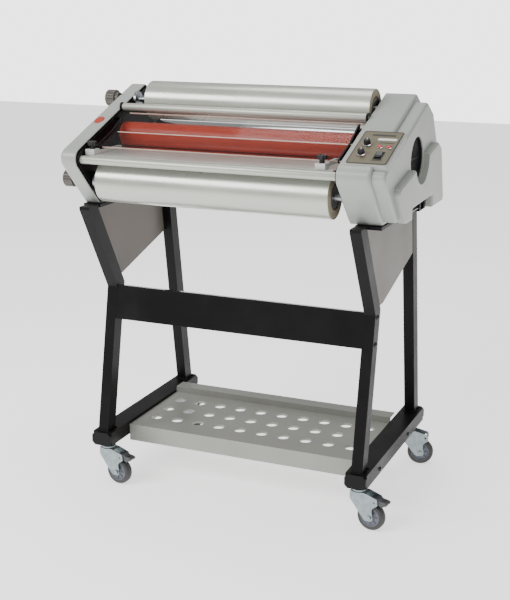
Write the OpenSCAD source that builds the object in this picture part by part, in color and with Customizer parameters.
// Roll laminator on a wheeled stand.
// X runs along the rollers, the operator's feed side faces -Y, Z is up and the wheels stand on Z = 0.

/* [Stand] */
// Distance between the centre planes of the two side frames
stand_span = 744; // [640:1:900]
// Height of the faces that the machine is bolted to
stand_h = 803; // [700:1:900]
// Width of the leg tube along X
leg_w = 30; // [24:1:36]
// Depth of the leg tube
leg_d = 40; // [30:1:50]
// Wall of the leg and rail tubes
tube_wall = 2; // [1.5:0.5:3]
// Width of the base rail along X
rail_w = 58; // [48:1:70]
// Height of the base rail
rail_h = 38; // [34:1:60]
// How far the base rail runs in front of the stand's centre
rail_front = 262; // [250:1:320]
// How far the base rail runs behind the stand's centre
rail_rear = 278; // [270:1:330]
// Height at which the front legs bend
knee_h = 562; // [450:1:650]
// How far the front leg's knee lies in front of the centre
knee_y = 160; // [120:1:200]
// How far the front leg's foot lies in front of the centre
front_foot_y = 238; // [210:1:245]
// How far the front leg's top lies in front of the centre
front_top_y = 290; // [240:1:320]
// How far the rear leg's foot lies behind the centre
rear_foot_y = 250; // [220:1:256]
// How far the rear leg's top lies behind the centre
rear_top_y = 152; // [130:1:200]
// Height of the printed front crossbar
crossbar_h = 92; // [60:1:120]
// Height of the crossbar's lower edge
crossbar_z = 472; // [420:1:480]

/* [Casters] */
// Distance between front and rear caster stems
wheelbase = 460; // [420:1:480]
// Overall height of a caster under the rail
caster_h = 120; // [112:1:130]
// Height of the fork's top plate over the floor
fork_h = 103; // [98:1:108]
// Wheel diameter
wheel_d = 75; // [60:1:76]
// Wheel width
wheel_w = 24; // [18:1:28]
// Distance from the swivel axis to the wheel's axle
caster_trail = 36; // [30:1:45]

/* [Tray] */
// Height of the tray's deck
tray_z = 150; // [140:1:200]
// Front edge of the tray's deck
tray_front = 162; // [120:1:200]
// Rear edge of the tray's deck
tray_rear = 138; // [100:1:200]
// Diameter of the tray's holes
tray_hole_d = 34; // [20:1:40]
// Holes in one row
tray_cols = 10; // [6:1:12]
// Distance between holes along X
tray_pitch_x = 66; // [45:1:66]
// Distance between rows
tray_pitch_y = 76; // [45:1:80]

/* [Machine] */
// Clear distance between the two side plates
bay_w = 691; // [600:1:800]
// How far the middle of the bay lies from the stand's middle
bay_shift = -12.5; // [-20:0.5:20]
// Thickness of a side plate
plate_t = 4; // [3:0.5:6]
// Width of the left cover
left_cover_w = 46; // [40:1:80]
// Width of the right cover's main part
right_cover_w = 84; // [80:1:110]
// Width of the right cover's first step
right_step_w = 33; // [28:1:45]
// Width of the right cover's outer boss
right_boss_w = 16; // [12:1:24]
// Wall of the covers
cover_wall = 3; // [2:0.5:4]
// Slope of the covers' top face
slope_deg = 20.66; // [15:0.01:24]
// Height of the sloping face over the stand's top, at the stand's centre
slope_rise = 287; // [257:1:307]

/* [Rollers] */
// Height of the nip between the rollers over the stand's top
nip_rise = 140; // [127:1:147]
// Distance between the laminating roller axes
roller_pitch = 65; // [55:2.5:70]
// Distance of the laminating rollers in front of the centre
roller_y = 130; // [120:1:140]
// Distance between the pull roller axes
pull_pitch = 50; // [45:5:55]
// Distance of the pull rollers behind the centre
pull_y = 60; // [55:1:65]
// Gap left between two rollers that face each other
nip_gap = 0.4; // [0.3:0.1:1]
// Radius of the roller journals
journal_r = 10; // [8:0.5:12]

/* [Film] */
// Width of a film roll
film_w = 635; // [500:1:640]
// Outer diameter of the upper film roll
upper_film_d = 103; // [80:1:108]
// Outer diameter of the lower film roll
lower_film_d = 110; // [80:1:112]
// Inner diameter of the film cores
core_d = 57; // [50:1:58]
// Diameter of the tension knobs
tension_knob_d = 46; // [36:1:54]

/* [Feed table] */
// Clear width between the two edge guides
guide_gap = 600; // [450:1:606]
// Diameter of the front bar and of the film idler
bar_d = 20; // [16:1:22]

/* [Controls] */
// Width of the control panel
panel_w = 98; // [90:1:104]
// Length of the control panel along the slope
panel_l = 160; // [140:1:164]
// Diameter of the rotary dials
dial_d = 22; // [16:1:26]
// Diameter of the indicator lamps
lamp_d = 14; // [10:1:16]

/* [Hidden] */
$fn = 48;
tiny = 0.01;
fit = 0.05; // radial clearance of a running fit
slip = 0.2; // clearance between faces that slide past each other
press_gap = 0.02; // clearance of a pressed-in bush
slope_z = stand_h + slope_rise;
nip_z = stand_h + nip_rise;

// ---- outline helpers -------------------------------------------------------------------------

function unit(v) = v / norm(v);
function wrap(i, n) = (i + n) % n;

// Points of the arc that rounds the corner at b between a and c
function corner(a, b, c, r, steps) =
    let (
        u = unit(a - b),
        v = unit(c - b),
        half = acos(u * v) / 2,
        centre = b + unit(u + v) * r / sin(half),
        s = b + u * r / tan(half) - centre,
        e = b + v * r / tan(half) - centre,
        from = atan2(s[1], s[0]),
        turn = wrap_angle(atan2(e[1], e[0]) - from)
    )
    [for (i = [0:steps]) centre + r * [cos(from + turn * i / steps), sin(from + turn * i / steps)]];
function wrap_angle(a) = a > 180 ? a - 360 : (a < -180 ? a + 360 : a);

// A closed outline whose corners [y, z, radius] are rounded
function rounded(corners, steps = 6) =
    let (n = len(corners))
    [for (i = [0:n - 1])
        let (
            a = corners[wrap(i - 1, n)],
            b = corners[i],
            c = corners[wrap(i + 1, n)]
        )
        each corner([a[0], a[1]], [b[0], b[1]], [c[0], c[1]], b[2], steps)];

function left_normal(a, b) = let (d = unit(b - a)) [-d[1], d[0]];
function mitre(n1, n2) = (n1 + n2) / (1 + n1 * n2);

// A counter-clockwise list of corners [y, z, radius] moved inwards by d
function inset(corners, d) =
    let (n = len(corners), p = [for (c = corners) [c[0], c[1]]])
    [for (i = [0:n - 1])
        let (
            m = mitre(left_normal(p[wrap(i - 1, n)], p[i]), left_normal(p[i], p[wrap(i + 1, n)])),
            q = p[i] + m * d
        )
        [q[0], q[1], max(corners[i][2] - d, 1)]];

// The outline of a bent bar of width w along an open line of points
function ribbon(line, w) =
    let (
        last = len(line) - 1,
        m = [for (i = [0:last])
            i == 0 ? left_normal(line[0], line[1])
            : i == last ? left_normal(line[last - 1], line[last])
            : mitre(left_normal(line[i - 1], line[i]), left_normal(line[i], line[i + 1]))]
    )
    concat([for (i = [0:last]) line[i] + m[i] * w / 2], [for (i = [last:-1:0]) line[i] - m[i] * w / 2]);

function stretch(line, d) =
    let (last = len(line) - 1)
    concat(
        [line[0] + unit(line[0] - line[1]) * d],
        [for (i = [1:1:last - 1]) line[i]],
        [line[last] + unit(line[last] - line[last - 1]) * d]
    );

// ---- solid helpers ---------------------------------------------------------------------------

module placed() translate([-middle_x, -middle_y, 0]) children();

// An outline in the Y-Z plane, extruded from x0 to x1
module slab(x0, x1, outline)
    translate([x0, 0, 0]) rotate([90, 0, 90]) linear_extrude(x1 - x0) polygon(outline);

// A round bar along X through the point [y, z]
module rod(x0, x1, at, r, sides = 48)
    translate([x0, at[0], at[1]]) rotate([0, 90, 0]) cylinder(h = x1 - x0, r = r, $fn = sides);

module box(lo, hi) translate(lo) cube(hi - lo);

// ---- stand -----------------------------------------------------------------------------------

leg_x = stand_span / 2;
rail_z = caster_h;
rail_top = rail_z + rail_h;
saddle_t = 8;
saddle_z = stand_h - saddle_t;
saddle_front = 262;
saddle_rear = 172;
leg_cap_front = front_top_y + leg_d / 2 + 3;
front_leg_line = [[-front_foot_y, rail_top], [-knee_y, knee_h], [-front_top_y, saddle_z]];
rear_leg_line = [[rear_foot_y, rail_top], [rear_top_y, saddle_z]];
sides = [["left", -1], ["right", 1]];

// Y of the leg's centre line at height z, between two of its points
function on_line(a, b, z) = a[0] + (b[0] - a[0]) * (z - a[1]) / (b[1] - a[1]);
function tilt_cos(a, b) = abs(b[1] - a[1]) / norm(b - a);

module leg(line, w, d)
    intersection() {
        slab(-w / 2, w / 2, ribbon(stretch(line, leg_d), d));
        box([-w, -600, rail_top - tiny], [w, 600, saddle_z + tiny]);
    }

// The machine sits on the saddle, which is as wide as the cover above it
function saddle_x(side) =
    let (near = leg_x - leg_w / 2 - 3, far = leg_x + leg_w / 2)
    side < 0 ? [min(left_cover_x + 4, -far), -near] : [near, max(right_step_x, far)];

bolt_r = 4;
bolt_head_r = 7;
bolt_head_h = 4.5;
crossbar_bolt_z = [crossbar_z + 8, crossbar_z + crossbar_h - 15];
tray_bolt_y = [-tray_front + 14, tray_rear - 20];
tray_bolt_z = tray_z - 18;

module side_frame(side) {
    saddle = saddle_x(side);
    difference() {
        union() {
            translate([side * leg_x, 0, 0]) {
                box([-rail_w / 2, -rail_front, rail_z], [rail_w / 2, rail_rear, rail_top]);
                leg(front_leg_line, leg_w, leg_d);
                leg(rear_leg_line, leg_w, leg_d);
            }
            box([saddle[0], -saddle_front, saddle_z], [saddle[1], saddle_rear, stand_h]);
            box(
                [side * leg_x - leg_w / 2, -leg_cap_front, saddle_z],
                [side * leg_x + leg_w / 2, -saddle_front + tiny, stand_h]
            );
        }
        translate([side * leg_x, 0, 0]) {
            box(
                [-rail_w / 2 + tube_wall, -rail_front - 1, rail_z + tube_wall],
                [rail_w / 2 - tube_wall, rail_rear + 1, rail_top - tube_wall]
            );
            for (line = [front_leg_line, rear_leg_line])
                leg_bore(line);
        }
        for (y = [-1, 1])
            translate([side * leg_x, y * wheelbase / 2, rail_z - 1])
                cylinder(h = tube_wall + 2, r = stem_r + slip);
        for (z = crossbar_bolt_z)
            rod_across(side, crossbar_y(z), z);
        for (y = tray_bolt_y)
            rod_across(side, y, tray_bolt_z);
    }
}

module leg_bore(line)
    intersection() {
        slab(-leg_w / 2 + tube_wall, leg_w / 2 - tube_wall, ribbon(stretch(line, leg_d), leg_d - 2 * tube_wall));
        box([-leg_w, -600, rail_top + tiny], [leg_w, 600, saddle_z - tiny]);
    }

// A bolt hole along X through one side frame
module rod_across(side, y, z)
    rod(side * leg_x - rail_w, side * leg_x + rail_w, [y, z], bolt_r + slip);

module side_frame_left() placed() color("#17171a") side_frame(-1);
module side_frame_right() placed() color("#17171a") side_frame(1);

gusset_t = 3;
gusset_low_front = knee_h + 14;
gusset_low_rear = 652;

// The grey web between the legs of one side frame, flush with their outer faces
module gusset(side) {
    knee = front_leg_line[1];
    crown = front_leg_line[2];
    front_off = leg_d / 2 / tilt_cos(knee, crown);
    rear_off = leg_d / 2 / tilt_cos(rear_leg_line[0], rear_leg_line[1]);
    front_at = function (z) on_line(knee, crown, z) + front_off;
    rear_at = function (z) on_line(rear_leg_line[0], rear_leg_line[1], z) - rear_off;
    outer = leg_x + leg_w / 2 - 1;
    outline = [
        [front_at(gusset_low_front), gusset_low_front],
        [front_at(gusset_low_front) + 28, gusset_low_front],
        [rear_at(gusset_low_rear), gusset_low_rear],
        [rear_at(saddle_z), saddle_z],
        [front_at(saddle_z), saddle_z]
    ];
    slab(side < 0 ? -outer : outer - gusset_t, side < 0 ? -outer + gusset_t : outer, outline);
}

module gusset_left() placed() color("#7a7670") gusset(-1);
module gusset_right() placed() color("#7a7670") gusset(1);

cap_t = 10;

// Moulded plugs that close the four rail ends
module rail_end_caps() placed() color("#141415")
    for (s = sides)
        translate([s[1] * leg_x, 0, 0]) {
            end_cap(-rail_front, -1);
            end_cap(rail_rear, 1);
        }

module end_cap(y, out)
    translate([0, y, rail_z + rail_h / 2]) rotate([90, 0, 0]) mirror([0, 0, out > 0 ? 1 : 0]) {
        linear_extrude(cap_t) polygon(chamfered(rail_w, rail_h, 9));
        translate([0, 0, -14])
            linear_extrude(14)
                square([rail_w - 2 * tube_wall - slip, rail_h - 2 * tube_wall - slip], center = true);
    }

function chamfered(w, h, c) = [
    [-w / 2 + c, -h / 2], [w / 2 - c, -h / 2], [w / 2, -h / 2 + c], [w / 2, h / 2 - c],
    [w / 2 - c, h / 2], [-w / 2 + c, h / 2], [-w / 2, h / 2 - c], [-w / 2, -h / 2 + c]
];

sheet_t = 2;
crossbar_flange = 26;
function crossbar_y(z) = on_line(front_leg_line[0], front_leg_line[1], z) + 2;

// Folded channel between the front legs, leaning with them
module crossbar() placed() color("#121214") {
    inner = leg_x - leg_w / 2;
    lean = atan2(knee_y - front_foot_y, knee_h - rail_top);
    face = on_line(front_leg_line[0], front_leg_line[1], crossbar_z) - leg_d / 2;
    length = crossbar_h / cos(lean);
    translate([0, face, crossbar_z]) rotate([lean, 0, 0])
        difference() {
            box([-inner, 0, 0], [inner, crossbar_flange, length]);
            box([-inner + sheet_t, sheet_t, sheet_t], [inner - sheet_t, crossbar_flange + 1, length - sheet_t]);
            for (z = crossbar_bolt_z)
                rod(-inner - 1, inner + 1, [cross_local(z, face)[0], cross_local(z, face)[1]], bolt_r + slip);
        }
}

// A bolt's place in the crossbar's own leaning frame
function cross_local(z, face) =
    let (
        lean = atan2(knee_y - front_foot_y, knee_h - rail_top),
        dy = crossbar_y(z) - face,
        dz = z - crossbar_z
    )
    [dy * cos(lean) + dz * sin(lean), -dy * sin(lean) + dz * cos(lean)];

// Dome-headed bolts that hold the crossbar and the tray
module frame_bolts() placed() color("#3a3a3d")
    for (s = sides) {
        for (z = crossbar_bolt_z)
            side_bolt(s[1], leg_x + leg_w / 2, leg_x - leg_w / 2 - sheet_t, crossbar_y(z), z);
        for (y = tray_bolt_y)
            side_bolt(s[1], leg_x + rail_w / 2, tray_half - sheet_t, y, tray_bolt_z);
    }

module side_bolt(side, head_x, end_x, y, z)
    translate([0, y, z]) mirror([side < 0 ? 1 : 0, 0, 0]) {
        rod(end_x - 7, head_x + tiny, [0, 0], bolt_r);
        translate([head_x, 0, 0])
            rotate([0, 90, 0])
                cylinder(h = bolt_head_h, r1 = bolt_head_r, r2 = bolt_head_r * 0.62);
        translate([end_x - 5.5, 0, 0]) rotate([0, 90, 0]) cylinder(h = 5.5, r = 6.5, $fn = 6);
    }

tray_half = leg_x - rail_w / 2 - 1;
tray_lip = 48;
tray_step = 18;
tray_shelf = 42;
tray_flange = 36;
tray_row_y = [for (i = [-1:1]) (tray_rear - tray_front) / 2 + 8 + i * tray_pitch_y];

// Perforated storage tray with a deep front lip and a stepped rear edge
module tray() placed() color("#a9aba4")
    difference() {
        union() {
            box([-tray_half, -tray_front, tray_z - sheet_t], [tray_half, tray_rear, tray_z]);
            box([-tray_half, -tray_front, tray_z - tray_lip], [tray_half, -tray_front + sheet_t, tray_z]);
            box([-tray_half, tray_rear - sheet_t, tray_z - sheet_t], [tray_half, tray_rear, tray_z + tray_step]);
            box(
                [-tray_half, tray_rear - sheet_t, tray_z + tray_step - sheet_t],
                [tray_half, tray_rear + tray_shelf, tray_z + tray_step]
            );
            for (s = [-1, 1])
                box(
                    [s < 0 ? -tray_half : tray_half - sheet_t, -tray_front, tray_z - tray_flange],
                    [s < 0 ? -tray_half + sheet_t : tray_half, tray_rear, tray_z]
                );
            tray_holes(tray_hole_d / 2 + 1.5, tray_z - 7, tray_z);
        }
        tray_holes(tray_hole_d / 2, tray_z - 8, tray_z + 1);
        for (y = tray_bolt_y)
            rod(-tray_half - 1, tray_half + 1, [y, tray_bolt_z], bolt_r + slip);
    }

module tray_holes(r, z0, z1)
    for (y = tray_row_y, i = [0:tray_cols - 1])
        translate([(i - (tray_cols - 1) / 2) * tray_pitch_x, y, z0]) cylinder(h = z1 - z0, r = r, $fn = 32);

// ---- casters ---------------------------------------------------------------------------------

stem_r = 6;
stem_flange_t = 5;
fork_top = fork_h;
race_h = 5;
race_r = 20;
race_gap = 0.3;
fork_plate_t = 5;
axle_z = wheel_d / 2;
axle_r = 4;
fork_inner = wheel_w / 2 + 2.2;
fork_t = 2.4;
pedal_pivot = [caster_trail + 14, wheel_d + 8.5];
corners_of_stand = [["fl", -1, -1], ["fr", 1, -1], ["rl", -1, 1], ["rr", 1, 1]];

// Direction in which each wheel trails at rest, counted from +X
function caster_yaw(sx, sy) = sy < 0 ? -8 : (sx < 0 ? 4 : 12);

module at_caster(sx, sy)
    placed()
        translate([sx * leg_x, sy * wheelbase / 2, 0]) rotate([0, 0, caster_yaw(sx, sy)]) children();

// The stems, their flanges and lock nuts stay with the rails
module caster_stems() color("#b9bdc2")
    for (c = corners_of_stand)
        at_caster(c[1], c[2]) {
            translate([0, 0, fork_top - fork_plate_t - 3.3]) cylinder(h = 3, r = 10);
            translate([0, 0, fork_top - fork_plate_t - 1])
                cylinder(h = caster_h - fork_top + fork_plate_t + 14, r = stem_r);
            translate([0, 0, fork_top + race_gap]) cylinder(h = race_h, r = race_r);
            translate([0, 0, fork_top + race_gap + race_h - tiny]) cylinder(h = 4, r1 = race_r, r2 = race_r - 5);
            translate([0, 0, fork_top + race_gap + race_h + 3])
                cylinder(h = caster_h - fork_top - race_gap - race_h - 3, r = race_r - 6);
            translate([0, 0, caster_h - stem_flange_t]) cylinder(h = stem_flange_t, r = race_r - 2);
            translate([0, 0, rail_z + tube_wall]) cylinder(h = 8, r = 10, $fn = 6);
        }

// Outline of one cheek in the X-Z plane of a caster that trails along +X
fork_outline = rounded([
    [-20, fork_top, 2], [-20, fork_top - 22, 10], [caster_trail - 13, axle_z - 10, 9],
    [caster_trail + 12, axle_z - 10, 9], [caster_trail + 6, axle_z + 26, 12],
    [pedal_pivot[0] + 9, pedal_pivot[1] - 8, 5], [pedal_pivot[0] + 8, pedal_pivot[1] + 9, 5],
    [22, fork_top, 4]
], 4);

module caster_fork(sx, sy) at_caster(sx, sy) color("#b3b8bd") {
    difference() {
        union() {
            translate([0, 0, fork_top - fork_plate_t]) cylinder(h = fork_plate_t, r = 22);
            translate([-20, -fork_inner - fork_t, fork_top - fork_plate_t])
                cube([42, 2 * (fork_inner + fork_t), fork_plate_t]);
            for (s = [-1, 1])
                translate([0, s * (fork_inner + fork_t / 2) + fork_t / 2, 0])
                    rotate([90, 0, 0]) linear_extrude(fork_t) polygon(fork_outline);
        }
        translate([0, 0, fork_top - fork_plate_t - 1]) cylinder(h = fork_plate_t + 2, r = stem_r + fit);
        along_y(pedal_pivot, 2 * fork_inner + 20, 3 + fit);
    }
    along_y([caster_trail, axle_z], 2 * (fork_inner + fork_t) + tiny, axle_r);
    for (s = [-1, 1])
        translate([0, s * (fork_inner + fork_t + 2), 0]) along_y([caster_trail, axle_z], 4, 6.5, 6);
}

// A bar along Y, centred on Y = 0, through the point [x, z]
module along_y(at, length, r, sides = 32)
    translate([at[0], 0, at[1]]) rotate([90, 0, 0]) cylinder(h = length, r = r, center = true, $fn = sides);

module caster_fork_fl() caster_fork(-1, -1);
module caster_fork_fr() caster_fork(1, -1);
module caster_fork_rl() caster_fork(-1, 1);
module caster_fork_rr() caster_fork(1, 1);

tread_r = 6;
hub_r = 26;

module caster_wheel(sx, sy) at_caster(sx, sy) color("#4a4a4c")
    translate([caster_trail, 0, axle_z]) rotate([90, 0, 0])
        rotate_extrude($fn = 64)
            polygon(wheel_section());

// Half section of the wheel, with a thinner web between hub and tyre
function wheel_section() =
    let (w = wheel_w / 2, R = wheel_d / 2)
    [
        [axle_r + fit, -w], [11, -w], [12, -w + 5], [hub_r - 2, -w + 5], [hub_r, -w],
        [R - 4, -w], [R - 1, -w + 3], [R, -w + 8],
        [R, w - 8], [R - 1, w - 3], [R - 4, w],
        [hub_r, w], [hub_r - 2, w - 5], [12, w - 5], [11, w], [axle_r + fit, w]
    ];

module caster_wheel_fl() caster_wheel(-1, -1);
module caster_wheel_fr() caster_wheel(1, -1);
module caster_wheel_rl() caster_wheel(-1, 1);
module caster_wheel_rr() caster_wheel(1, 1);

pedal_w = 2 * fork_inner - 1;

// Foot-operated brake, hinged between the cheeks of a front fork
module brake_pedal(sx, sy) at_caster(sx, sy) color("#555558") {
    p = pedal_pivot;
    tip = caster_trail + wheel_d / 2 + 12;
    translate([0, pedal_w / 2, 0]) rotate([90, 0, 0]) linear_extrude(pedal_w)
        polygon(rounded([
            [p[0] - 14, p[1] + 8, 2], [p[0] - 14, p[1] - 4, 2], [p[0] + 4, p[1] - 5, 3],
            [tip - 16, p[1] - 12, 4], [tip - 2, p[1] - 6, 3], [tip, p[1] + 1, 2.5],
            [tip - 14, p[1] + 5, 4], [p[0] + 8, p[1] + 9, 5]
        ], 4));
    translate([0, 0, p[1]]) translate([p[0], 0, 0]) rotate([90, 0, 0])
        cylinder(h = 2 * (fork_inner + fork_t) + 2, r = 3, center = true);
}

module brake_pedal_fl() brake_pedal(-1, -1);
module brake_pedal_fr() brake_pedal(1, -1);

// ---- machine: side plates and covers ---------------------------------------------------------

bay_lo = bay_shift - bay_w / 2;
bay_hi = bay_shift + bay_w / 2;
left_cover_x = bay_lo - plate_t - left_cover_w;
right_cover_x = bay_hi + plate_t;
right_step_x = right_cover_x + right_cover_w;
right_boss_x = right_step_x + right_step_w;
right_end_x = right_boss_x + right_boss_w;

function slope_at(y) = slope_z + y * tan(slope_deg);

nose_y = -385;
crown_y = 18;

// Side view of the covers, counter-clockwise from the front bottom corner
cover_corners = [
    [-250, stand_h, 12], [165, stand_h, 12], [118, stand_h + 162, 30], [62, slope_at(crown_y) - 26, 14],
    [crown_y, slope_at(crown_y), 14], [nose_y, slope_at(nose_y), 28]
];
step_drop = 10;
step_base = inset(cover_corners, step_drop);
step_corners = [
    step_base[0], step_base[1], step_base[2],
    [60, slope_at(crown_y) - 52, 18], [0, slope_at(0) - step_drop / cos(slope_deg), 24], step_base[5]
];
boss_corners = [
    [-218, stand_h + 4, 12], [-166, stand_h + 4, 3], [-166, stand_h + 32, 3], [22, stand_h + 36, 3],
    [22, stand_h + 4, 3], [136, stand_h + 4, 12], [96, stand_h + 150, 12], [64, stand_h + 168, 8],
    [-292, stand_h + 94, 12]
];
notch_corners = [[-163, stand_h - 4, 2], [19, stand_h - 4, 2], [19, stand_h + 33, 2], [-163, stand_h + 29, 2]];

upper_roller_at = [-roller_y, nip_z + roller_pitch / 2];
lower_roller_at = [-roller_y, nip_z - roller_pitch / 2];
pull_upper_at = [pull_y, nip_z + pull_pitch / 2];
pull_lower_at = [pull_y, nip_z - pull_pitch / 2];
film_upper_at = [-45, stand_h + 257];
film_lower_at = [-276, stand_h + 68];
film_idler_at = [-118, stand_h + 243];
guard_hinge_at = [-142, stand_h + 213];
front_bar_at = [-340, nip_z - bar_d / 2 - 1];
tie_bar_at = [[120, stand_h + 27], [-60, stand_h + 23], [92, stand_h + 197]];
bearing_r = 17;
film_shaft_r = 8;
idler_pin_r = 5;
tie_bolt_r = 3;

module side_plate(x0, x1) {
    difference() {
        union() {
            slab(x0, x1, rounded(inset(cover_corners, 7)));
            rod(x0, x1, film_idler_at, 12);
            rod(x0, x1, front_bar_at, 12);
        }
        for (at = [upper_roller_at, lower_roller_at, pull_upper_at, pull_lower_at])
            rod(x0 - 1, x1 + 1, at, bearing_r + press_gap);
        for (at = [film_upper_at, film_lower_at])
            rod(x0 - 1, x1 + 1, at, film_shaft_r + fit);
        rod(x0 - 1, x1 + 1, film_idler_at, idler_pin_r + fit);
        rod(x0 - 1, x1 + 1, guard_hinge_at, idler_pin_r + fit);
        for (at = concat(tie_bar_at, [front_bar_at]))
            rod(x0 - 1, x1 + 1, at, tie_bolt_r + slip);
    }
}

module side_plate_left() placed() color("#1b1b1d") side_plate(bay_lo - plate_t, bay_lo);
module side_plate_right() placed() color("#1b1b1d") side_plate(bay_hi, bay_hi + plate_t);

module cover_left() placed() color("#aeb1ac")
    difference() {
        slab(left_cover_x, bay_lo - plate_t, rounded(cover_corners));
        slab(left_cover_x + cover_wall, bay_lo - plate_t + 1, rounded(inset(cover_corners, cover_wall)));
        for (at = [film_upper_at, film_lower_at])
            rod(left_cover_x - 1, left_cover_x + cover_wall + 1, at, film_shaft_r + 1);
    }

recess_at = [-88, stand_h + 143];
recess_r = 56;
boss_ring_r = 62;

// Places children on the panel's plinth: X across, Y up the slope, Z out of it
module on_panel(lift = 0)
    translate([panel_x, panel_y, slope_at(panel_y)]) rotate([slope_deg, 0, 0]) translate([0, 0, lift]) children();

plinth_rise = 3;
panel_x = right_cover_x + 64;
panel_y = -264;
panel_t = 1.6;
plinth_depth = 17;

module plinth(w, l, rise)
    on_panel() translate([-w / 2, -l / 2, -plinth_depth]) cube([w, l, plinth_depth + rise]);

module cover_right() placed() color("#aeb1ac")
    difference() {
        union() {
            slab(right_cover_x, right_step_x, rounded(cover_corners));
            slab(right_step_x - tiny, right_boss_x, rounded(step_corners));
            difference() {
                slab(right_boss_x - tiny, right_end_x, rounded(boss_corners, 4));
                rod(right_boss_x - 1, right_end_x + 1, recess_at, boss_ring_r, 64);
            }
            plinth(panel_w + 8, panel_l + 8, plinth_rise);
        }
        slab(right_cover_x - 1, right_step_x - cover_wall, rounded(inset(cover_corners, cover_wall)));
        slab(right_step_x - cover_wall - tiny, right_boss_x - cover_wall, rounded(inset(step_corners, cover_wall)));
        rod(right_boss_x - cover_wall - 1, right_boss_x + 1, recess_at, recess_r, 64);
        slab(right_boss_x - cover_wall - 1, right_end_x + 1, rounded(notch_corners, 3));
        box([inlet_x - slip, -44 - slip, stand_h - 1], [right_boss_x + 1, 12 + slip, stand_h + 28 + slip]);
        panel_cutouts();
    }

dial_at = [[-23, 10], [-23, -38]];
lamp_at = [[11, 0], [33, 0]];
rocker_at = [20, -40];
rocker_w = 14;
rocker_l = 28;
dial_spindle_r = 3;

// Holes for spindles, lamps and rocker, right through panel and plinth
module panel_cutouts()
    on_panel(-60) {
        for (p = dial_at)
            translate([p[0], p[1], 0]) cylinder(h = 80, r = dial_spindle_r + 1);
        for (p = lamp_at)
            translate([p[0], p[1], 0]) cylinder(h = 80, r = lamp_d / 2 - 2);
        translate([rocker_at[0] - rocker_w / 2 - 1, rocker_at[1] - rocker_l / 2 - 1, 0])
            cube([rocker_w + 2, rocker_l + 2, 80]);
    }

module control_panel() placed() color("#84816f")
    difference() {
        on_panel(plinth_rise) linear_extrude(panel_t) polygon(panel_outline());
        panel_cutouts();
    }

function panel_outline() =
    let (w = panel_w / 2, l = panel_l / 2, r = 6)
    rounded([[-w, -l, r], [w, -l, r], [w, l, r], [-w, l, r]], 4);

panel_top = plinth_rise + panel_t;

module panel_lamps() placed() color("#c23a2c")
    for (p = lamp_at)
        on_panel() translate([p[0], p[1], 0]) {
            translate([0, 0, -14]) cylinder(h = panel_top + 14 + tiny, r = lamp_d / 2 - 2.4);
            translate([0, 0, panel_top]) cylinder(h = 3, r = lamp_d / 2);
            translate([0, 0, panel_top + 3 - tiny]) cylinder(h = 2.5, r1 = lamp_d / 2 - 1, r2 = lamp_d / 4);
        }

// A fluted knob on its own spindle
module dial(p) placed() color("#1c1c1e")
    on_panel() translate([p[0], p[1], 0]) {
        translate([0, 0, -12]) cylinder(h = panel_top + 13, r = dial_spindle_r);
        difference() {
            union() {
                translate([0, 0, panel_top + slip]) cylinder(h = 3, r = dial_d / 2);
                translate([0, 0, panel_top + slip + 3 - tiny]) cylinder(h = 11, r1 = dial_d / 2 - 3, r2 = dial_d / 2 - 4);
                translate([-1, 0, panel_top + slip + 3 - tiny]) cube([2, dial_d / 2 - 1.5, 11.5]);
            }
            for (a = [45:45:315])
                rotate([0, 0, a + 90]) translate([dial_d / 2 - 1.4, 0, panel_top + 3.2]) cylinder(h = 16, r = 2.2, $fn = 16);
        }
    }

module speed_dial() dial(dial_at[0]);
module heat_dial() dial(dial_at[1]);

rocker_tilt = 8;

// Rest is the middle position of the forward - stop - reverse rocker
module power_rocker() placed() color("#101011")
    on_panel(panel_top) translate([rocker_at[0], rocker_at[1], 0]) rotate([0, 90, 0]) {
        translate([0, 0, -rocker_w / 2])
            linear_extrude(rocker_w)
                polygon([[9, -5], [3, -rocker_l / 2 + 2], [-5, -rocker_l / 2 + 0.6], [-2.5, 0],
                         [-5, rocker_l / 2 - 0.6], [3, rocker_l / 2 - 2], [9, 5]]);
        cylinder(h = rocker_w + 1.4, r = 1.5, center = true);
    }

grille_x = right_boss_x - 12;

// Black slatted insert that fills the round opening in the right cover
module vent_grille() placed() color("#111112")
    translate([grille_x, recess_at[0], recess_at[1]]) rotate([0, 90, 0])
        difference() {
            union() {
                difference() {
                    cylinder(h = 9, r = recess_r + 4);
                    translate([0, 0, 3]) cylinder(h = 7, r = recess_r - 3);
                    translate([0, 0, -1]) cylinder(h = 5, r = recess_r - 8);
                }
                intersection() {
                    cylinder(h = 4, r = recess_r - 2);
                    union() {
                        for (i = [-8:8])
                            translate([-recess_r, i * 5.6 - 1.4, 0]) cube([2 * recess_r, 2.8, 4]);
                        translate([-2, -recess_r, 0]) cube([4, 2 * recess_r, 4]);
                    }
                }
            }
        }

inlet_x = right_boss_x - cover_wall - 22;

// Mains inlet in the notch under the outer boss
module power_inlet() placed() color("#0f0f10")
    difference() {
        box([inlet_x, -44, stand_h + 3], [inlet_x + 24, 12, stand_h + 28]);
        box([inlet_x + 6, -30, stand_h + 6], [inlet_x + 25, -2, stand_h + 25]);
        for (z = [stand_h + 10, stand_h + 21])
            box([inlet_x + 2, -18, z - 1.5], [inlet_x + 7, -14, z + 1.5]);
    }

board_x = right_cover_x + 60;

// Speed and temperature electronics behind the plinth
module control_board() placed() color("#1f5a36") {
    box([board_x, -70, stand_h + 203], [board_x + 1.6, 30, stand_h + 253]);
    for (y = [-56, -30, -4])
        box([board_x + 1.6 - tiny, y, stand_h + 211], [board_x + 12, y + 14, stand_h + 231]);
    for (y = [-64, 24])
        rod(right_cover_x, board_x + tiny, [y, stand_h + 209], 3, 16);
}

// ---- drive -----------------------------------------------------------------------------------

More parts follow.
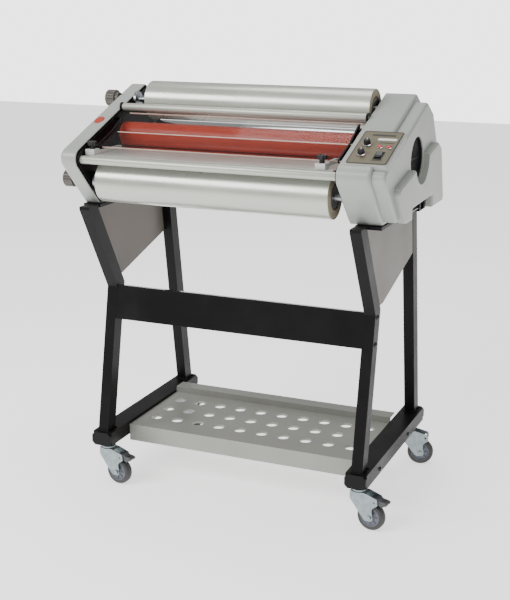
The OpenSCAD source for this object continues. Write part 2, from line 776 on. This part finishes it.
gear_m = 2.5;
gear_x = right_cover_x + 14;
gear_w = 10;
backlash = 0.3;
pressure_angle = 20;
teeth_roller = roller_pitch / gear_m;
teeth_pull = pull_pitch / gear_m;
teeth_pinion = 13;
teeth_idler = 54;

function pitch_r(teeth) = teeth * gear_m / 2;
function involute(a) = tan(a) * 180 / PI - a;

// Half the angle that a tooth fills at radius r
function half_tooth(teeth, r) =
    let (
        rp = pitch_r(teeth),
        rb = rp * cos(pressure_angle),
        a = acos(min(1, rb / max(r, rb)))
    )
    90 / teeth - backlash / 4 / rp * 180 / PI + involute(pressure_angle) - involute(a);

function gear_outline(teeth, phase) =
    let (
        rp = pitch_r(teeth),
        root = rp - 1.15 * gear_m,
        tip = rp + 0.85 * gear_m,
        flank = [root, max(root + 0.2, rp * cos(pressure_angle)), rp - 0.2 * gear_m, rp + 0.4 * gear_m, tip]
    )
    [for (i = [0:teeth - 1], side = [-1, 1], k = side < 0 ? [0:4] : [4:-1:0])
        let (a = phase + i * 360 / teeth + side * half_tooth(teeth, flank[k]))
        flank[k] * [cos(a), sin(a)]];

function heading(a, b) = atan2(b[1] - a[1], b[0] - a[0]);

// Phase that puts a gap of gear b in front of a tooth of gear a
function meshed(at_a, teeth_a, phase_a, at_b, teeth_b) =
    let (h = heading(at_a, at_b), part = (h - phase_a) * teeth_a / 360)
    h + 180 - (0.5 - part) * 360 / teeth_b;

// The centre at distances ra and rb from two points, on the lower side
function apex(a, b, ra, rb) =
    let (
        d = norm(b - a),
        along = (ra * ra - rb * rb + d * d) / 2 / d,
        off = sqrt(ra * ra - along * along),
        u = (b - a) / d
    )
    a + u * along + [u[1], -u[0]] * off;

idler_gear_at = apex(
    lower_roller_at, pull_lower_at,
    pitch_r(teeth_roller + teeth_idler), pitch_r(teeth_pull + teeth_idler)
);
pinion_heading = -110;
pinion_at = lower_roller_at + pitch_r(teeth_roller + teeth_pinion) * [cos(pinion_heading), sin(pinion_heading)];

phase_lower = 0;
phase_upper = meshed(lower_roller_at, teeth_roller, phase_lower, upper_roller_at, teeth_roller);
phase_idler = meshed(lower_roller_at, teeth_roller, phase_lower, idler_gear_at, teeth_idler);
phase_pull_lower = meshed(idler_gear_at, teeth_idler, phase_idler, pull_lower_at, teeth_pull);
phase_pull_upper = meshed(pull_lower_at, teeth_pull, phase_pull_lower, pull_upper_at, teeth_pull);
phase_pinion = meshed(lower_roller_at, teeth_roller, phase_lower, pinion_at, teeth_pinion);

gear_journal_r = journal_r - 2;

module spur_gear(at, teeth, phase, bore_r, hub = 0) placed() color("#c8b98a")
    translate([gear_x, at[0], at[1]]) rotate([90, 0, 90])
        difference() {
            union() {
                linear_extrude(gear_w) polygon(gear_outline(teeth, phase));
                translate([0, 0, -hub]) cylinder(h = hub + tiny, r = bore_r + 5);
            }
            translate([0, 0, -hub - 1]) cylinder(h = gear_w + hub + 2, r = bore_r);
        }

module lower_roller_gear() spur_gear(lower_roller_at, teeth_roller, phase_lower, gear_journal_r);
module upper_roller_gear() spur_gear(upper_roller_at, teeth_roller, phase_upper, gear_journal_r);
module pull_gear_lower() spur_gear(pull_lower_at, teeth_pull, phase_pull_lower, gear_journal_r);
module pull_gear_upper() spur_gear(pull_upper_at, teeth_pull, phase_pull_upper, gear_journal_r);

stub_r = 7;

// The idler gear runs on a stub axle that is part of the bearing set
module idler_gear() placed() color("#c8b98a")
    translate([gear_x, idler_gear_at[0], idler_gear_at[1]]) rotate([90, 0, 90])
        difference() {
            linear_extrude(gear_w) polygon(gear_outline(teeth_idler, phase_idler));
            translate([0, 0, -1]) cylinder(h = gear_w + 2, r = stub_r + fit);
            for (a = [0:60:300])
                rotate([0, 0, a + 30]) translate([38, 0, -1]) cylinder(h = gear_w + 2, r = 13);
        }

motor_shaft_r = 4;
gearbox_x = gear_x + gear_w + 6;

module motor_pinion() placed() color("#9aa0a6") {
    translate([gear_x, pinion_at[0], pinion_at[1]]) rotate([90, 0, 90])
        linear_extrude(gear_w) polygon(gear_outline(teeth_pinion, phase_pinion));
    rod(gear_x + gear_w - tiny, gearbox_x + 14, pinion_at, motor_shaft_r);
}

motor_post = [[-24, -24], [24, -24], [-32, 12]];

// Gearbox and motor stand off the right side plate on three posts
module gear_motor() placed() color("#5f6468") {
    difference() {
        union() {
            rod(gearbox_x, gearbox_x + 30, pinion_at, 38);
            rod(gearbox_x + 30 - tiny, right_boss_x - cover_wall - 6, pinion_at, 30);
        }
        rod(gearbox_x - 1, gearbox_x + 16, pinion_at, motor_shaft_r + fit);
    }
    for (p = motor_post)
        rod(right_cover_x, gearbox_x + tiny, pinion_at + p, 4, 24);
}

// Flanged bushes in both side plates, with the idler gear's stub axle
module roller_bearings() placed() color("#b08d57") {
    for (at = [upper_roller_at, lower_roller_at, pull_upper_at, pull_lower_at])
        for (s = [-1, 1])
            bearing(s < 0 ? bay_lo : bay_hi, s, at);
    difference() {
        union() {
            rod(right_cover_x, gear_x - 1, idler_gear_at, 11);
            rod(gear_x - 1 - tiny, gear_x + gear_w + 1, idler_gear_at, stub_r);
            rod(gear_x + gear_w + 1 - tiny, gear_x + gear_w + 3, idler_gear_at, 11);
        }
        rod(right_cover_x - 1, right_cover_x + 8, idler_gear_at, 2.5, 16);
    }
}

module bearing(x, out, at)
    translate([x, at[0], at[1]]) rotate([0, 90, 0]) mirror([0, 0, out < 0 ? 1 : 0])
        difference() {
            union() {
                cylinder(h = plate_t, r = bearing_r);
                translate([0, 0, plate_t - tiny]) cylinder(h = 5, r = bearing_r + 3);
            }
            translate([0, 0, -1]) cylinder(h = plate_t + 8, r = journal_r + fit);
        }

// ---- rollers ---------------------------------------------------------------------------------

roller_len = bay_w - 24;
roller_core_r = 22;
shaft_end_left = bay_lo - plate_t - 8;
shaft_end_right = gear_x + gear_w + 3;

module roller_sleeve(at, r) placed() color("#b9542f")
    translate([bay_shift, at[0], at[1]]) rotate([0, 90, 0])
        difference() {
            cylinder(h = roller_len, r = r, center = true, $fn = 64);
            cylinder(h = roller_len + 2, r = roller_core_r, center = true);
        }

// Steel core, journals and the reduced end that carries the gear
module roller_core(at, r, length)
    placed() color("#a8adb1") {
        rod(bay_shift - length / 2, bay_shift + length / 2, at, r);
        rod(shaft_end_left, gear_x - 1, at, journal_r);
        rod(gear_x - 1 - tiny, shaft_end_right, at, gear_journal_r);
    }

laminating_r = (roller_pitch - nip_gap) / 2;
pull_r = (pull_pitch - nip_gap) / 2;

module upper_roller() roller_sleeve(upper_roller_at, laminating_r);
module lower_roller() roller_sleeve(lower_roller_at, laminating_r);
module upper_roller_shaft() roller_core(upper_roller_at, roller_core_r, roller_len + 8);
module lower_roller_shaft() roller_core(lower_roller_at, roller_core_r, roller_len + 8);
module pull_roller_upper() roller_core(pull_upper_at, pull_r, roller_len);
module pull_roller_lower() roller_core(pull_lower_at, pull_r, roller_len);

module film_idler() placed() color("#c9ccc8") {
    rod(bay_lo + 2, bay_hi - 2, film_idler_at, bar_d / 2);
    rod(bay_lo - plate_t + 0.5, bay_hi + plate_t - 0.5, film_idler_at, idler_pin_r);
}

// Bars bolted between the side plates; the front one is the edge of the feed table
module tie_bars() placed() color("#b9bbb6")
    for (at = concat(tie_bar_at, [front_bar_at]))
        difference() {
            rod(bay_lo, bay_hi, at, at == front_bar_at ? bar_d / 2 + 0.5 : 9);
            for (x = [bay_lo - 1, bay_hi - 19])
                rod(x, x + 20, at, tie_bolt_r, 24);
        }

// ---- film supply -----------------------------------------------------------------------------

upper_film_x = bay_shift + 25;
lower_film_x = bay_shift + 2;
core_wall = 3.5;

module film_roll(x, at, d) placed() color("#d3d5d0")
    translate([x, at[0], at[1]]) rotate([0, 90, 0])
        difference() {
            union() {
                cylinder(h = film_w, r = d / 2, center = true, $fn = 72);
                cylinder(h = film_w + 2, r = core_d / 2 + core_wall, center = true);
            }
            cylinder(h = film_w + 4, r = core_d / 2, center = true);
        }

module film_roll_upper() film_roll(upper_film_x, film_upper_at, upper_film_d);
module film_roll_lower() film_roll(lower_film_x, film_lower_at, lower_film_d);

chuck_w = 16;
brake_r = 21;

// Supply shaft with a core chuck at each end and a friction disc at the left plate
module film_shaft(x, at) placed() color("#9ea3a7") {
    rod(left_cover_x - 6, bay_hi + plate_t + 6, at, film_shaft_r);
    for (s = [-1, 1])
        translate([x + s * (film_w / 2 - chuck_w / 2), at[0], at[1]]) rotate([0, 90, 0])
            cylinder(h = chuck_w, r = core_d / 2, center = true);
    rod(bay_lo + 3, bay_lo + 10, at, brake_r);
}

module film_shaft_upper() film_shaft(upper_film_x, film_upper_at);
module film_shaft_lower() film_shaft(lower_film_x, film_lower_at);

knob_len = 36;

// Fluted knob outside the left cover that squeezes the friction brake
module tension_knob(at) placed() color("#6d6a66")
    translate([left_cover_x - 0.6, at[0], at[1]]) rotate([0, -90, 0])
        difference() {
            union() {
                cylinder(h = 8, r = tension_knob_d / 2 - 6);
                translate([0, 0, 8 - tiny]) cylinder(h = knob_len - 10, r = tension_knob_d / 2);
                translate([0, 0, knob_len - 2 - 2 * tiny])
                    cylinder(h = 3, r1 = tension_knob_d / 2, r2 = tension_knob_d / 2 - 4);
            }
            translate([0, 0, -1]) cylinder(h = 12, r = film_shaft_r + 0.6);
            for (a = [0:20:340])
                rotate([0, 0, a]) translate([tension_knob_d / 2 + 1, 0, 7]) cylinder(h = knob_len, r = 2.4, $fn = 16);
        }

module tension_knob_upper() tension_knob(film_upper_at);
module tension_knob_lower() tension_knob(film_lower_at);

// ---- feed table and guard --------------------------------------------------------------------

table_lo = bay_lo + 4;
table_hi = bay_hi - 15;
table_front = -326;
table_rear = -172;
table_t = 3;

module feed_table() placed() color("#b4b6b1") {
    box([table_lo, table_front, nip_z - table_t], [table_hi, table_rear, nip_z]);
    box([table_lo, table_rear - table_t, nip_z - 14], [table_hi, table_rear, nip_z]);
    for (s = [-1, 1], y = [-306, -206])
        translate([0, y, 0]) {
            x0 = s < 0 ? bay_lo : table_hi - 2;
            x1 = s < 0 ? table_lo + 2 : bay_hi;
            box([x0, 0, nip_z - table_t], [x1, 20, nip_z]);
            box([s < 0 ? x0 : x1 - table_t, 0, nip_z - 24], [s < 0 ? x0 + table_t : x1, 20, nip_z]);
        }
}

guide_mid = bay_shift - 16;
guide_bar_w = 11;
guide_bar_h = 8;
guide_block_w = 26;
guide_block_l = 28;
guide_block_h = 14;
guide_front = -325;
guide_rear = -182;
guide_z = nip_z + slip;
guide_knob_x = guide_gap / 2 + guide_block_w / 2;
guide_knob_y = guide_front + guide_block_l / 2;

module edge_guide(s) placed() color("#d6d8d4")
    translate([guide_mid, 0, 0]) mirror([s < 0 ? 1 : 0, 0, 0])
        difference() {
            union() {
                box([guide_gap / 2, guide_front, guide_z], [guide_gap / 2 + guide_bar_w, guide_rear, guide_z + guide_bar_h]);
                box(
                    [guide_gap / 2, guide_front, guide_z],
                    [guide_gap / 2 + guide_block_w, guide_front + guide_block_l, guide_z + guide_block_h]
                );
            }
            translate([guide_knob_x, guide_knob_y, guide_z + 2]) cylinder(h = guide_block_h, r = 4 + fit);
        }

module edge_guide_left() edge_guide(-1);
module edge_guide_right() edge_guide(1);

module guide_knob(s) placed() color("#151516")
    translate([guide_mid + s * guide_knob_x, guide_knob_y, guide_z + 2.5]) {
        cylinder(h = guide_block_h, r = 4);
        translate([0, 0, guide_block_h - 2.5 + slip]) cylinder(h = 9, r = 6.5);
        difference() {
            translate([0, 0, guide_block_h + 6]) cylinder(h = 11, r = 13);
            for (a = [0:45:315])
                rotate([0, 0, a]) translate([14, 0, guide_block_h + 5]) cylinder(h = 14, r = 3, $fn = 16);
        }
    }

module guide_knob_left() guide_knob(-1);
module guide_knob_right() guide_knob(1);

guard_line = [[-136, stand_h + 228], [-205, stand_h + 185], [-286, stand_h + 156]];
guard_t = 3;
guard_lo = bay_lo + 14;
guard_hi = bay_hi - 14;
arm_t = 4;

// Smoked clear shield over the nip, bent once
module guard_shield() placed() color("#5a5c60", 0.5)
    slab(guard_lo + arm_t, guard_hi - arm_t, ribbon(guard_line, guard_t));

// The two end arms carry the shield and turn on pins in the side plates
module guard_arms() placed() color("#1a1a1b")
    for (s = [-1, 1]) {
        x0 = s < 0 ? guard_lo : guard_hi - arm_t;
        slab(x0, x0 + arm_t, rounded([
            [guard_hinge_at[0] - 8, guard_hinge_at[1] - 8, 5], [guard_hinge_at[0] + 8, guard_hinge_at[1] - 7, 6],
            [guard_line[0][0] + 4, guard_line[0][1] + 4, 3], [guard_line[1][0] - 3, guard_line[1][1] + 4, 3],
            [guard_line[2][0] - 3, guard_line[2][1] + 3, 3], [guard_line[2][0] + 1, guard_line[2][1] - 6, 3],
            [guard_line[1][0] + 3, guard_line[1][1] - 9, 3]
        ], 4));
        rod(s < 0 ? bay_lo - plate_t + 0.5 : x0 + arm_t - tiny, s < 0 ? x0 + tiny : bay_hi + plate_t - 0.5,
            guard_hinge_at, idler_pin_r);
    }

// ---- frame origin ----------------------------------------------------------------------------

left_reach = left_cover_x - 0.6 - knob_len - 1;
right_reach = right_end_x;
front_reach = min([for (p = rounded(cover_corners)) p[0]]);
rear_reach = rail_rear + cap_t;
middle_x = (left_reach + right_reach) / 2;
middle_y = (front_reach + rear_reach) / 2;

side_frame_left();
side_frame_right();
gusset_left();
gusset_right();
rail_end_caps();
crossbar();
frame_bolts();
tray();
caster_stems();
caster_fork_fl();
caster_fork_fr();
caster_fork_rl();
caster_fork_rr();
caster_wheel_fl();
caster_wheel_fr();
caster_wheel_rl();
caster_wheel_rr();
brake_pedal_fl();
brake_pedal_fr();
side_plate_left();
side_plate_right();
cover_left();
cover_right();
vent_grille();
power_inlet();
control_panel();
panel_lamps();
control_board();
gear_motor();
tie_bars();
roller_bearings();
feed_table();
speed_dial();
heat_dial();
power_rocker();
guard_shield();
guard_arms();
upper_roller();
upper_roller_shaft();
lower_roller();
lower_roller_shaft();
pull_roller_upper();
pull_roller_lower();
motor_pinion();
lower_roller_gear();
upper_roller_gear();
idler_gear();
pull_gear_lower();
pull_gear_upper();
film_roll_upper();
film_roll_lower();
film_shaft_upper();
film_shaft_lower();
tension_knob_upper();
tension_knob_lower();
film_idler();
edge_guide_left();
edge_guide_right();
guide_knob_left();
guide_knob_right();
